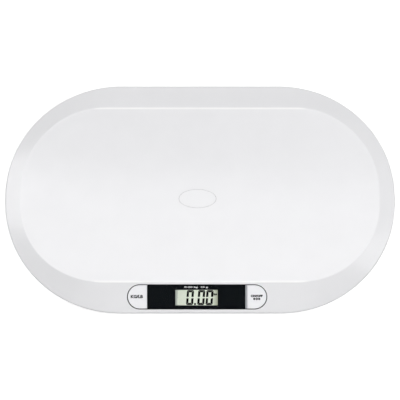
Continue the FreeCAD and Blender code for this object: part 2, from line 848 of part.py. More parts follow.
def gauge_seal():
    """Silicone bead over the strain gauges, on the tongue's root."""
    bead = centred_box(0, seal_y, seal_length, seal_width, cell_top, cell_top + seal_height)
    return bead.makeFillet(seal_height / 2, level_edges(bead, cell_top + seal_height))


def load_cell_holder():
    """Plastic holder between the well's roof and the plate's outer frame."""
    holder = cylinder(0, 0, well_radius - holder_play, holder_bottom, well_roof)
    room = cell_side + 2 * cell_play
    holder = holder.cut(rounded_plate(room, room, cell_corner, holder_bottom, cell_top))
    relief = cell_tongue + 2 * cell_slot
    holder = holder.cut(centred_box(0, 0, relief, relief, cell_top, cell_top + holder_relief))
    holder = holder.cut(centred_box(0, seal_y, seal_length + 2 * cell_play, seal_width + 2 * cell_play,
                                    cell_top, cell_top + holder_relief))
    holder = holder.cut(cylinder(0, seal_y, lead_radius + lead_hole_play, cell_top, well_roof))
    for side in (-1, 1):
        x = side * holder_screw_x
        seat = holder_bottom + holder_head_height
        holder = holder.cut(cylinder(x, 0, holder_head_radius + part_gap, holder_bottom, seat))
        holder = holder.cut(cylinder(x, 0, holder_shank_radius + part_gap, holder_bottom, well_roof))
    return holder


def holder_screws():
    one = screw(holder_shank_radius, holder_screw_length, holder_head_radius, holder_head_height)
    seat = holder_bottom + holder_head_height
    screws = []
    for x, y in foot_spots:
        screws += [moved(one, x + side * holder_screw_x, y, seat) for side in (-1, 1)]
    return Part.makeCompound(screws)


def case_screws():
    one = screw(case_shank_radius, case_screw_length, case_head_radius, case_head_height)
    return Part.makeCompound([moved(one, x, y, case_head_seat) for x, y in case_screw_spots])


def at_foot(shape, x, y):
    """Turn a foot piece so that its gauge side looks inwards, and set it at its spot."""
    copy = shape.copy()
    if y > 0:
        copy.rotate(ORIGIN, Z_AXIS, 180)
    return moved(copy, x, y)


# ---- batteries ------------------------------------------------------------------------
def battery_row(index):
    """Cell centre across the bay, and which way its nub points."""
    y = (index - (cell_count - 1) / 2) * battery_pitch
    nub = 1 if index % 2 == 0 else -1
    return y, nub


def contact_plane():
    """Inner face of the flat contacts."""
    return bay_inner_x / 2 - contact_thickness


def tab_x():
    return bay_inner_x / 2 - contact_thickness / 2


def tab_y():
    return battery_row(0)[0]


def battery(index):
    """Round cell with a stepped nub, held against the flat contact."""
    y, nub = battery_row(index)
    can = Part.makeCylinder(battery_radius, battery_length, ORIGIN, X_AXIS)
    can = can.makeFillet(nub_height / 2, can.Edges)
    can = can.fuse(Part.makeCylinder(nub_radius, battery_length + nub_height, ORIGIN, X_AXIS))
    can.translate(Vector(contact_plane() - battery_length - nub_height, 0, 0))
    if nub < 0:
        can.rotate(ORIGIN, Z_AXIS, 180)
    return moved(can.removeSplitter(), 0, y, battery_axis_z)


def flat_contact(index):
    y, nub = battery_row(index)
    plate = centred_box(tab_x(), y, contact_thickness, contact_width,
                        battery_axis_z - contact_height / 2, battery_axis_z + contact_height / 2)
    if nub < 0:
        plate = plate.mirror(ORIGIN, X_AXIS)
    return plate


def leaf_contact(index):
    """Sprung leaf, folded back on itself, that presses on the cell's flat end."""
    y, nub = battery_row(index)
    outer = bay_inner_x / 2
    t = contact_thickness
    low = battery_axis_z - contact_height / 2
    high = battery_axis_z + contact_height / 2
    press = outer - leaf_depth - t
    outline = [(outer, low), (outer, high), (outer - t, high), (outer - t, low + 2 * t),
               (press + t, battery_axis_z - t), (press + t, battery_axis_z + 2 * t),
               (press, battery_axis_z + 2 * t), (press, battery_axis_z - t), (outer - t, low)]
    points = [Vector(x, y - contact_width / 2, z) for x, z in outline]
    leaf = Part.Face(Part.makePolygon(points + points[:1])).extrude(Vector(0, contact_width, 0))
    if nub > 0:
        leaf = leaf.mirror(ORIGIN, X_AXIS)
    return leaf


def solder_tab(sign):
    """Tab that stands through the bay's roof for a lead."""
    top = battery_axis_z + contact_height / 2
    return centred_box(sign * tab_x(), tab_y(), contact_thickness, tab_width, top, bay_top + tab_rise)


def flat_contacts():
    plates = [flat_contact(i) for i in range(cell_count)]
    plates[0] = plates[0].fuse(solder_tab(1)).removeSplitter()
    return Part.makeCompound(plates)


def leaf_contacts():
    leaves = [leaf_contact(i) for i in range(cell_count)]
    leaves[0] = leaves[0].fuse(solder_tab(-1)).removeSplitter()
    return Part.makeCompound(leaves)


def battery_door():
    """Cover with a rounded rear edge on two hinge pins, a sprung catch and a grooved grip."""
    reach_x = recess_x - door_play
    reach_y = recess_y - door_play
    door = box(-reach_x, reach_x, -reach_y, hinge_y, base_bottom, door_top)
    door = door.fuse(rod(hinge_y, hinge_z, hinge_roll, reach_x))
    door = door.fuse(rod(hinge_y, hinge_z, hinge_pin_radius, recess_x + hinge_pin_length - door_play))
    front = -bay_inner_y / 2 + latch_gap
    door = door.fuse(box(-latch_width / 2, latch_width / 2, front, front + latch_thickness, door_top,
                         door_top + latch_height))
    door = door.removeSplitter()
    for row in range(grip_count):
        y = -reach_y + grip_edge_gap + 2 * row * grip_groove
        door = door.cut(centred_box(0, y, latch_width, grip_groove, base_bottom, base_bottom + grip_groove / 2))
    return door


# ---- leads ----------------------------------------------------------------------------
def socket_start(column):
    """Mouth of a socket and the point straight out from it."""
    mouth = panel_point(column, socket_row, board_bottom - socket_size[2])
    away = panel_point(column, socket_row, board_bottom - socket_size[2] - lead_drop)
    return [mouth, away]


def cell_lead(x, y):
    """Lead from a load cell up through the well's roof and along the base to the board."""
    side = math.copysign(1, x)
    inward = -math.copysign(1, y)
    rise = Vector(x, y + inward * seal_y, lead_level)
    start = Vector(rise.x, rise.y, cell_top + seal_height)
    socket, bends = (front_socket_x, (front_lead_bend,)) if y < 0 else (rear_socket_x, rear_lead_bends)
    points = socket_start(side * socket)
    points += [Vector(side * bend_x, bend_y, lead_level) for bend_x, bend_y in bends]
    return lead(points + [rise, start])


def battery_leads():
    pair = []
    for sign in (-1, 1):
        level = bay_top + tab_rise / 2
        column = sign * (bay_inner_x / 2 + battery_lead_gap)
        points = socket_start(sign * battery_socket_x)
        points.append(Vector(column, battery_lead_y, lead_level))
        points.append(Vector(column, tab_y(), level))
        points.append(Vector(sign * bay_inner_x / 2, tab_y(), level))
        pair.append(lead(points))
    return Part.makeCompound(pair)


# ---- export ---------------------------------------------------------------------------
def save(name, shape):
    shape.exportStep("parts/" + name + ".step")


def save_case():
    save("tray_shell", tray_shell())
    save("base_shell", base_shell())
    save("badge_plate", badge_plate())
    save("case_screws", case_screws())


def save_panel():
    save("panel_gasket", on_panel(panel_gasket()))
    save("display_lens", on_panel(display_lens()))
    save("lens_mask", on_panel(lens_mask()))
    save("lens_tape", on_panel(lens_tape()))
    save("lcd_glass", on_panel(lcd_glass()))
    save("lcd_frame", on_panel(lcd_frame()))
    save("lcd_strip", on_panel(lcd_strip()))
    save("main_board", on_panel(main_board()))
    save("board_chips", on_panel(board_chips()))
    save("board_sockets", on_panel(board_sockets()))
    save("board_screws", on_panel(board_screws()))
    for name, sign in (("unit", -1), ("power", 1)):
        save(name + "_key", on_panel(key(sign)))
        save(name + "_switch", on_panel(tact_switch(sign)))
        save(name + "_switch_plunger", on_panel(switch_plunger(sign)))


def save_feet():
    pieces = {"foot_cup": foot_cup(), "foot_pad": foot_pad(), "load_cell": load_cell(),
              "gauge_seal": gauge_seal(), "load_cell_holder": load_cell_holder()}
    for x, y in foot_spots:
        corner = ("_front" if y < 0 else "_rear") + ("_left" if x < 0 else "_right")
        for name, shape in pieces.items():
            save(name + corner, at_foot(shape, x, y))
        save("cell_lead" + corner, cell_lead(x, y))
    save("holder_screws", holder_screws())


def save_power():
    for index in range(cell_count):
        save("battery_" + str(index + 1), battery(index))
    save("flat_contacts", flat_contacts())
    save("leaf_contacts", leaf_contacts())
    save("battery_door", battery_door())
    save("battery_leads", battery_leads())


os.makedirs("parts", exist_ok=True)
save_case()
save_panel()
save_feet()
save_power()
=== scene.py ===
# %% [markdown]
# # A digital baby weighing scale
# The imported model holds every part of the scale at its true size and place, in metres, with
# +X along the tray, -Y towards the reader and +Z up. This notebook dresses those parts: it gives
# each one a finish, and adds what is too fine for the solids, such as printing and display figures.

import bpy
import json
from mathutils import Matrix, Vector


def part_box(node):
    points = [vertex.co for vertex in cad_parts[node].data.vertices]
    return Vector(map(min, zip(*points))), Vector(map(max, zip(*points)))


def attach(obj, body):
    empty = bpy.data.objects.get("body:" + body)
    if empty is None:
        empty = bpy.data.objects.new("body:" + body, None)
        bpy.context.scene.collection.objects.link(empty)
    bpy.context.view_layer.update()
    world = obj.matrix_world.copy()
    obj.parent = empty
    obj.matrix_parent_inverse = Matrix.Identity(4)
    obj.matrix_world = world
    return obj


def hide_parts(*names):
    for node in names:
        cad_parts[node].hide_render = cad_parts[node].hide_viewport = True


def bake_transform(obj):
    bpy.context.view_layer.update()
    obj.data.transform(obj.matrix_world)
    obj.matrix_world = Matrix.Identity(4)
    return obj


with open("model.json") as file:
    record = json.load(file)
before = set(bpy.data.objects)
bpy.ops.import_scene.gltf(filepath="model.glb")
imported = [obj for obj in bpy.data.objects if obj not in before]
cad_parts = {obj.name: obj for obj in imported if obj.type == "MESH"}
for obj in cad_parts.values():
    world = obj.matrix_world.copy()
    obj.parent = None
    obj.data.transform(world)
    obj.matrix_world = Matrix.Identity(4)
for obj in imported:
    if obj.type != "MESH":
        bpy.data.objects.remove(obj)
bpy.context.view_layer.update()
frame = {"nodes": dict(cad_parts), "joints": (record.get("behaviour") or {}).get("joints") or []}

# %% [markdown]
# ## Units and names
# Small sizes read best in millimetres, so `mm` turns them into metres. Some finishes go on several
# parts whose names begin alike, and `parts` finds those. Patterns and added pieces are laid out
# about a part's middle, which `box_middle` gives.

# %% Units and names
import json
import math

import bmesh
import bpy
from mathutils import Matrix, Vector

mm = 0.001
scene = bpy.context.scene


def parts(start):
    """Names of the parts that begin with these words."""
    return sorted(name for name in frame["nodes"] if name.startswith(start))


def box_middle(name):
    """Middle of a part's outer box."""
    low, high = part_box(name)
    return (low + high) / 2


print("feet:", parts("foot_cup"))

# %% [markdown]
# ## The panel's own directions
# Keys, lens and display lie on a sloping face. Their places are easiest to give as millimetres
# along the panel, up its slope, and out of it. The direction out is the opposite of the way that
# a key travels, and the middle is measured from the lens, which lies a little below the panel's face.

# %% Panel directions
lens_depth = 0.1 * mm
key_joint = next(joint for joint in frame["joints"] if joint["name"] == "unit_key_press")
panel_out = -Vector(key_joint["axis"]).normalized()
panel_along = Vector((1, 0, 0))
panel_up = panel_out.cross(panel_along)


def points_of(name):
    """Places of all points of a part."""
    return [vertex.co for vertex in frame["nodes"][name].data.vertices]


def span(points, direction):
    """Lowest and highest reach of the points along a direction."""
    reach = [point.dot(direction) for point in points]
    return min(reach), max(reach)


lens_points = points_of("display_lens")
face_height = span(lens_points, panel_out)[1] + lens_depth
lens_low, lens_high = span(lens_points, panel_up)
lens_left, lens_right = span(lens_points, panel_along)
panel_middle = (panel_out * face_height + panel_up * (lens_low + lens_high) / 2
                + panel_along * (lens_left + lens_right) / 2)
turn = Matrix((panel_along, panel_up, panel_out)).transposed().to_4x4()
panel_place = Matrix.Translation(panel_middle) @ turn


def top_over_face(name):
    """Height of a part's top over the panel's face, in millimetres."""
    return (span(points_of(name), panel_out)[1] - face_height) / mm


print("panel middle:", [round(value, 4) for value in panel_middle])
print("panel slope in degrees:", round(math.degrees(panel_out.angle(Vector((0, 0, 1)))), 2))

# %% [markdown]
# ## Camera
# A product picture of a flat tray is taken from high up with a long lens, so that both long edges
# look nearly the same length. The lens is worked out from the width that the frame should take in.

# %% Camera
camera_rise = math.radians(73.4)
camera_distance = 4.0
camera_reach = 20
frame_width = 0.5648
aim = Vector((0.0, -0.0016, 0.0263))

camera = bpy.data.objects.new("camera", bpy.data.cameras.new("camera"))
scene.collection.objects.link(camera)
back = Vector((0, -math.cos(camera_rise), math.sin(camera_rise)))
camera.location = aim + back * camera_distance
camera.rotation_euler = (-back).to_track_quat("-Z", "Y").to_euler()
camera.data.lens = camera.data.sensor_width * camera_distance / frame_width
camera.data.clip_end = camera_reach
scene.camera = camera
scene.view_settings.view_transform = "Standard"
print("lens in millimetres:", round(camera.data.lens, 1))

# %% [markdown]
# ## Colours
# Shaders work with linear light, and colours are easier to read as display values from 0 to 255.
# `paint` turns the second into the first.


# %% Colours
def paint(red, green, blue):
    """Linear colour for display values from 0 to 255."""
    linear = []
    for value in (red, green, blue):
        share = value / 255
        linear.append(share / 12.92 if share <= 0.04045 else ((share + 0.055) / 1.055) ** 2.4)
    return (*linear, 1.0)


print("middle grey:", [round(value, 3) for value in paint(128, 128, 128)])

# %% [markdown]
# ## Studio background
# The camera and mirrors see a plain white room. The room itself gives only a little light, so
# that the lamps decide how the form is shaded and nothing on the object washes out. Light that has
# passed through a clear pane counts as glossy too, so it is taken off what sees the bright room.

# %% World
room_light = 0.15
room_white = (1, 1, 1, 1)


def combine(tree, operation, first, second):
    """One value worked out from two others."""
    node = tree.nodes.new("ShaderNodeMath")
    node.operation = operation
    tree.links.new(first, node.inputs[0])
    tree.links.new(second, node.inputs[1])
    return node.outputs["Value"]


world = bpy.data.worlds.new("studio")
scene.world = world
world.use_nodes = True
room = world.node_tree
room.nodes.clear()
ray = room.nodes.new("ShaderNodeLightPath")
dim = room.nodes.new("ShaderNodeBackground")
dim.inputs["Color"].default_value = room_white
dim.inputs["Strength"].default_value = room_light
plain = room.nodes.new("ShaderNodeBackground")
plain.inputs["Color"].default_value = room_white
plain.inputs["Strength"].default_value = 1.0
mirrored = combine(room, "SUBTRACT", ray.outputs["Is Glossy Ray"], ray.outputs["Is Transmission Ray"])
seen = combine(room, "MAXIMUM", ray.outputs["Is Camera Ray"], mirrored)
choose = room.nodes.new("ShaderNodeMixShader")
room.links.new(seen, choose.inputs["Fac"])
room.links.new(dim.outputs["Background"], choose.inputs[1])
room.links.new(plain.outputs["Background"], choose.inputs[2])
walls = room.nodes.new("ShaderNodeOutputWorld")
room.links.new(choose.outputs["Shader"], walls.inputs["Surface"])
print("room light:", room_light)

# %% [markdown]
# ## Lamps
# A white moulding needs large, even lamps, or its faces fill with hard reflections. One box stands
# behind the tray, one at each side, and a fill behind the reader lights the panel and the outer
# edge. The side boxes stand a little askew, the left one further back, so that the light runs across
# the tray from corner to corner. A lamp that only mirrors show lays a soft gloss over the near half
# of the hollow.

# %% Lamps
# Each row gives the lamp's name, place, width and depth in metres, brightness, and role.
lamp_table = (
    ("back_box", (0.0, 1.93, 2.3), (2.4, 1.2), 2.2, "light"),
    ("back_glow", (0.0, 1.42, 2.64), (2.6, 1.78), 1.9, "mirror"),
    ("left_box", (-1.5, 0.75, 2.4), (1.0, 2.4), 2.7, "both"),
    ("right_box", (1.6, -0.2, 2.3), (1.2, 2.8), 2.4, "both"),
    ("front_fill", (0.0, -1.93, 2.3), (2.8, 1.0), 3.05, "light"),
)


def place_lamp(name, spot, size, brightness, role):
    """Rectangular lamp turned to the tray, as bright at any size. It lights, is mirrored, or both."""
    lamp = bpy.data.lights.new(name, "AREA")
    lamp.shape = "RECTANGLE"
    lamp.size, lamp.size_y = size
    lamp.energy = brightness * math.pi * size[0] * size[1]
    holder = bpy.data.objects.new(name, lamp)
    scene.collection.objects.link(holder)
    holder.location = spot
    holder.rotation_euler = (aim - Vector(spot)).to_track_quat("-Z", "Y").to_euler()
    holder.visible_glossy = role != "light"
    holder.visible_diffuse = role != "mirror"
    holder.visible_transmission = False
    return holder


for row in lamp_table:
    print("lamp:", place_lamp(*row).name)

# %% [markdown]
# ## Floor
# The floor is a plain white sheet. It takes the tray's soft shadow as any surface does. A light of
# its own, which only the camera sees, lifts it to a clean white, and more so further from the tray.

# %% Floor
floor_reach = 6.0
fade_start, fade_end = 0.5, 3.0
near_glow, far_glow = 0.55, 1.0
floor_mesh = bpy.data.meshes.new("floor")
corners = [(-floor_reach, -floor_reach, 0), (floor_reach, -floor_reach, 0),
           (floor_reach, floor_reach, 0), (-floor_reach, floor_reach, 0)]
floor_mesh.from_pydata(corners, [], [(0, 1, 2, 3)])
floor = bpy.data.objects.new("floor", floor_mesh)
scene.collection.objects.link(floor)
sheet = bpy.data.materials.new("white_sheet")
sheet.use_nodes = True
paper = sheet.node_tree
matt = paper.nodes["Principled BSDF"]
matt.inputs["Base Color"].default_value = paint(244, 244, 244)
matt.inputs["Roughness"].default_value = 0.9
matt.inputs["Specular IOR Level"].default_value = 0.1
lift = paper.nodes.new("ShaderNodeEmission")
lift_ray = paper.nodes.new("ShaderNodeLightPath")
sheet_place = paper.nodes.new("ShaderNodeTexCoord")
away = paper.nodes.new("ShaderNodeVectorMath")
away.operation = "LENGTH"
paper.links.new(sheet_place.outputs["Object"], away.inputs[0])
fading = paper.nodes.new("ShaderNodeMapRange")
fading.inputs["From Min"].default_value = fade_start
fading.inputs["From Max"].default_value = fade_end
fading.inputs["To Min"].default_value = near_glow
fading.inputs["To Max"].default_value = far_glow
paper.links.new(away.outputs["Value"], fading.inputs["Value"])
lift_amount = combine(paper, "MULTIPLY", lift_ray.outputs["Is Camera Ray"], fading.outputs["Result"])
paper.links.new(lift_amount, lift.inputs["Strength"])
both = paper.nodes.new("ShaderNodeAddShader")
paper.links.new(matt.outputs["BSDF"], both.inputs[0])
paper.links.new(lift.outputs["Emission"], both.inputs[1])
paper.links.new(both.outputs["Shader"], paper.nodes["Material Output"].inputs["Surface"])
floor_mesh.materials.append(sheet)
print("floor reaches", floor_reach, "m each way")

# %% [markdown]
# ## Tools for finishes
# Every finish starts from the same few steps: the object's own coordinates, a soft random pattern
# on them, and that pattern turned into a range of roughness, a shade of colour or a relief. The
# helpers below are those steps, so that each finish can be read as what makes it different.


# %% Tools for finishes
def start_finish(name):
    """A new material with its tree, its main shader and the object's own coordinates."""
    finish = bpy.data.materials.new(name)
    finish.use_nodes = True
    tree = finish.node_tree
    place = tree.nodes.new("ShaderNodeTexCoord").outputs["Object"]
    return finish, tree, tree.nodes["Principled BSDF"], place


def stretch(tree, place, scale, turned=(0, 0, 0)):
    """Coordinates drawn out or turned, for a pattern with a direction."""
    mapping = tree.nodes.new("ShaderNodeMapping")
    mapping.inputs["Scale"].default_value = scale
    mapping.inputs["Rotation"].default_value = turned
    tree.links.new(place, mapping.inputs["Vector"])
    return mapping.outputs["Vector"]


def speckle(tree, place, spots, detail):
    """Soft random value, with about that many spots to the metre and finer ones in them."""
    noise = tree.nodes.new("ShaderNodeTexNoise")
    noise.inputs["Scale"].default_value = spots
    noise.inputs["Detail"].default_value = detail
    tree.links.new(place, noise.inputs["Vector"])
    return noise.outputs["Fac"]


def between(tree, value, low, high, start=0.3, end=0.7):
    """A value that was between start and end, now between low and high."""
    spread = tree.nodes.new("ShaderNodeMapRange")
    spread.inputs["From Min"].default_value = start
    spread.inputs["From Max"].default_value = end
    spread.inputs["To Min"].default_value = low
    spread.inputs["To Max"].default_value = high
    tree.links.new(value, spread.inputs["Value"])
    return spread.outputs["Result"]


def shade(tree, value, first, second):
    """A colour between two others, or two colour sockets, by a value from 0 to 1."""
    mix = tree.nodes.new("ShaderNodeMix")
    mix.data_type = "RGBA"
    tree.links.new(value, mix.inputs[0])
    for colour, socket in ((first, mix.inputs[6]), (second, mix.inputs[7])):
        if isinstance(colour, bpy.types.NodeSocket):
            tree.links.new(colour, socket)
        else:
            socket.default_value = colour
    return mix.outputs[2]


def bands(tree, value, stops, blend):
    """Colour that changes along a value. Each stop is a place from 0 to 1 and its colour."""
    node = tree.nodes.new("ShaderNodeValToRGB")
    node.color_ramp.interpolation = blend
    ramp = node.color_ramp.elements
    while len(ramp) < len(stops):
        ramp.new(0.5)
    for element, (position, colour) in zip(ramp, stops):
        element.position = position
        element.color = colour
    tree.links.new(value, node.inputs["Fac"])
    return node.outputs["Color"]


def relief(tree, shader, height, depth):
    """Raised and sunken grain of that depth in metres."""
    bump = tree.nodes.new("ShaderNodeBump")
    bump.inputs["Distance"].default_value = depth
    tree.links.new(height, bump.inputs["Height"])
    tree.links.new(bump.outputs["Normal"], shader.inputs["Normal"])


def dress(finish, *names):
    """Gives parts their finish."""
    for name in names:
        data = frame["nodes"][name].data
        data.materials.clear()
        data.materials.append(finish)
    print(finish.name, "on", len(names), "part(s)")


def dress_all(make, table):
    """Makes every finish of a table, gives it to its parts, and returns the finishes by name."""
    made = {}
    for name, colour, second_colour, *values, names in table:
        made[name] = make(name, paint(*colour), paint(*second_colour), *values)
        dress(made[name], *names)
    return made


# %% [markdown]
# ## Moulded plastic
# Nearly the whole scale is moulded ABS. Straight from the tool it isn't one flat colour: the
# pigment clouds very slightly, the polish is uneven, and the surface has the grain of the mould,
# from the faint ripple of a polished tool to the fine pits of a spark-eroded one.

# %% Moulded plastic
cloud_spots = 26.0
polish_spots = 90.0


def moulded(name, colour, cloudy, polish, spots, depth):
    """Moulded plastic: its colour, clouded towards another, a range of polish and the tool's grain."""
    finish, tree, shader, place = start_finish(name)
    clouds = between(tree, speckle(tree, place, cloud_spots, 3.0), 0.0, 1.0)
    tree.links.new(shade(tree, clouds, colour, cloudy), shader.inputs["Base Color"])
    patches = between(tree, speckle(tree, place, polish_spots, 4.0), *polish)
    tree.links.new(patches, shader.inputs["Roughness"])
    shader.inputs["Specular IOR Level"].default_value = 0.5
    relief(tree, shader, speckle(tree, place, spots, 3.0), depth)
    return finish


def paint_ridge_highlight(finish, colour, low, high):
    """Paints the highest part of a finish paler, a painted highlight along the ridge where it catches
    light.
    """
    tree = finish.node_tree
    shader = tree.nodes["Principled BSDF"]
    axes = tree.nodes.new("ShaderNodeSeparateXYZ")
    tree.links.new(tree.nodes["Texture Coordinate"].outputs["Object"], axes.inputs["Vector"])
    ridge_highlight_share = between(tree, axes.outputs["Z"], 0.0, 1.0, low, high)
    plain_colour = shader.inputs["Base Color"].links[0].from_socket
    tree.links.new(shade(tree, ridge_highlight_share, plain_colour, colour), shader.inputs["Base Color"])


# Each row gives the finish's name, its colour, the clouded colour, the range of its polish, the
# spots of its grain to the metre, the grain's depth in metres, and its parts.
mouldings = dress_all(moulded, (
    ("gloss_white", (241, 241, 243), (239, 239, 241), (0.18, 0.22), 420, 4e-6,
     ["tray_shell", "badge_plate"]),
    ("satin_white", (233, 233, 234), (229, 229, 230), (0.42, 0.52), 2600, 2.5e-5,
     ["base_shell", "battery_door"]),
    ("key_white", (252, 252, 255), (250, 250, 253), (0.14, 0.18), 1900, 5e-6,
     ["unit_key", "power_key"]),
    ("foot_white", (224, 224, 225), (217, 217, 218), (0.44, 0.54), 2200, 2e-5, parts("foot_cup")),
    ("holder_grey", (196, 196, 198), (188, 188, 190), (0.45, 0.56), 1800, 2e-5,
     parts("load_cell_holder")),
    ("frame_white", (228, 228, 226), (222, 222, 220), (0.46, 0.56), 1800, 1.5e-5, ["lcd_frame"]),
    ("chip_black", (34, 34, 37), (42, 42, 45), (0.5, 0.62), 5200, 1.5e-5, ["board_chips"]),
    ("socket_ivory", (232, 226, 208), (226, 219, 199), (0.4, 0.5), 2400, 1e-5, ["board_sockets"]),
    ("switch_black", (38, 38, 40), (46, 46, 48), (0.36, 0.46), 3000, 8e-6,
     ["unit_switch", "power_switch"]),
    ("plunger_ivory", (214, 205, 184), (206, 196, 174), (0.38, 0.48), 3000, 8e-6,
     ["unit_switch_plunger", "power_switch_plunger"]),
))
# The tray's ridge top is painted near white: a painted highlight where the ridge catches the light.
ridge_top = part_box("tray_shell")[1].z
highlight_start, highlight_end = 0.42 * mm, 0.12 * mm
paint_ridge_highlight(mouldings["gloss_white"], paint(254, 254, 254), ridge_top - highlight_start, ridge_top - highlight_end)

# %% [markdown]
# ## Rubber and silicone
# Rubber is matt and a little dusty. Its grain is coarser than that of plastic, and raised parts
# catch a paler bloom, so the colour follows the same pattern as the relief.


# %% Rubber and silicone
def rubber(name, colour, bloom, polish, spots, depth, shine=0.35):
    """Rubber: its colour, the pale bloom on its high spots, its polish and grain."""
    finish, tree, shader, place = start_finish(name)
    grain = speckle(tree, place, spots, 5.0)
    tree.links.new(shade(tree, between(tree, grain, 0.0, 1.0, 0.45, 0.75), colour, bloom),
                   shader.inputs["Base Color"])
    tree.links.new(between(tree, grain, *polish), shader.inputs["Roughness"])
    shader.inputs["Specular IOR Level"].default_value = shine
    relief(tree, shader, grain, depth)
    return finish


# Each row gives the finish's name, its colour, its bloom, the range of its polish, the spots of its
# grain to the metre, the grain's depth in metres, its shine where it is less than usual, and its parts.
rubbers = dress_all(rubber, (
    # The gasket's near-black is partly its rubber and partly painted shade, for the shadow of the gap
    # round the panel.
    ("gasket_rubber", (22, 22, 24), (34, 34, 37), (0.62, 0.75), 900, 1e-5, 0.1, ["panel_gasket"]),
    ("pad_rubber", (112, 113, 116), (134, 135, 138), (0.66, 0.82), 1400, 4e-5, parts("foot_pad")),
    ("strip_rubber", (168, 170, 172), (180, 182, 184), (0.6, 0.72), 1200, 1e-5, ["lcd_strip"]),
    ("seal_silicone", (236, 236, 232), (243, 243, 240), (0.3, 0.42), 500, 5e-5, parts("gauge_seal")),
))

# %% [markdown]
# ## Bare metal
# Load cells are punched from rolled steel and nickel plated, the contacts are sprung strip, and
# the screws are zinc plated. Rolling and polishing leave fine lines one way, which a noise drawn
# out along that way gives to both the roughness and the relief. Plating also clouds in patches.


# %% Bare metal
def plated(name, bright, dull, lines, polish, depth):
    """Plated steel: two shades, the stretch of its lines, its polish and their depth."""
    finish, tree, shader, place = start_finish(name)
    shader.inputs["Metallic"].default_value = 1.0
    patches = between(tree, speckle(tree, place, 160.0, 4.0), 0.0, 1.0)
    tree.links.new(shade(tree, patches, bright, dull), shader.inputs["Base Color"])
    scratches = speckle(tree, stretch(tree, place, lines), 1.0, 4.0)
    tree.links.new(between(tree, scratches, *polish), shader.inputs["Roughness"])
    relief(tree, shader, scratches, depth)
    return finish


# Each row gives the finish's name, its bright shade, its dull shade, how often its lines repeat to
# the metre along X, Y and Z, the range of its polish, the lines' depth in metres, and its parts.
metals = dress_all(plated, (
    ("cell_steel", (206, 207, 208), (190, 191, 192), (300, 9000, 3000), (0.24, 0.4), 8e-6,
     [name for name in parts("load_cell_") if "holder" not in name]),
    ("contact_nickel", (216, 212, 202), (200, 196, 186), (9000, 400, 400), (0.16, 0.3), 5e-6,
     ["flat_contacts", "leaf_contacts"]),
    ("screw_zinc", (205, 207, 210), (183, 186, 190), (2400, 2400, 2400), (0.26, 0.42), 6e-6,
     ["case_screws", "holder_screws", "board_screws"]),
))

# %% [markdown]
# ## Circuit board
# The board is green because of its solder mask, which is darker over the laminate and paler over
# the bright copper. A brick pattern with thin mortar, mixed with a second one turned to cross it,
# stands in for the copper tracks, and the tracks rise by the copper's own thickness.


# %% Circuit board
def tracks(tree, place, fineness, turned):
    """Value that is 1 on thin straight tracks and 0 between them, turned by some degrees."""
    rows = tree.nodes.new("ShaderNodeTexBrick")
    rows.inputs["Scale"].default_value = 1.0
    rows.inputs["Mortar Size"].default_value = 0.09
    rows.inputs["Brick Width"].default_value = 6.0
    rows.inputs["Row Height"].default_value = 0.9
    tree.links.new(stretch(tree, place, (fineness,) * 3, (0, 0, math.radians(turned))),
                   rows.inputs["Vector"])
    return rows.outputs["Fac"]


copper_rise = 3.5e-5
board_finish, tree, shader, place = start_finish("board_green")
copper = combine(tree, "MAXIMUM", tracks(tree, place, 700, 0), tracks(tree, place, 500, 90))
tree.links.new(shade(tree, copper, paint(24, 104, 58), paint(52, 140, 84)), shader.inputs["Base Color"])
tree.links.new(between(tree, speckle(tree, place, 400, 3), 0.22, 0.36), shader.inputs["Roughness"])
relief(tree, shader, copper, copper_rise)
dress(board_finish, "main_board")

# %% [markdown]
# ## Leads and batteries
# Each lead is a soft sheath with a slight twist, whose waves show in its polish. A battery's jacket
# is printed film, so it gets plain bands along its length and a faint crease from shrinking.

# %% Leads
sheath, tree, shader, place = start_finish("lead_sheath")
twist = speckle(tree, stretch(tree, place, (260, 260, 260)), 1.0, 2.0)
tree.links.new(shade(tree, between(tree, twist, 0, 1), paint(216, 216, 214), paint(196, 196, 194)),
               shader.inputs["Base Color"])
tree.links.new(between(tree, twist, 0.38, 0.5), shader.inputs["Roughness"])
relief(tree, shader, twist, 6e-5)
dress(sheath, *parts("cell_lead"), "battery_leads")

# %% Batteries
battery_half = 23.0 * mm
cap_steel = paint(198, 199, 200)
jacket_bands = ((0.0, cap_steel), (0.035, paint(196, 142, 58)), (0.3, paint(225, 225, 222)),
                (0.33, paint(30, 44, 74)), (0.955, cap_steel))


def battery_film(name, middle):
    """Printed film in bands along X about a battery's middle, with a steel cap at each end."""
    finish, tree, shader, place = start_finish(name)
    axes = tree.nodes.new("ShaderNodeSeparateXYZ")
    tree.links.new(place, axes.inputs["Vector"])
    along = between(tree, axes.outputs["X"], 0.0, 1.0, middle - battery_half, middle + battery_half)
    tree.links.new(bands(tree, along, jacket_bands, "CONSTANT"), shader.inputs["Base Color"])
    crease = speckle(tree, stretch(tree, place, (60, 600, 600)), 1.0, 4.0)
    tree.links.new(between(tree, crease, 0.2, 0.34), shader.inputs["Roughness"])
    relief(tree, shader, crease, 2e-5)
    return finish


for name in parts("battery_"):
    if name[-1].isdigit():
        dress(battery_film(name + "_film", box_middle(name).x), name)
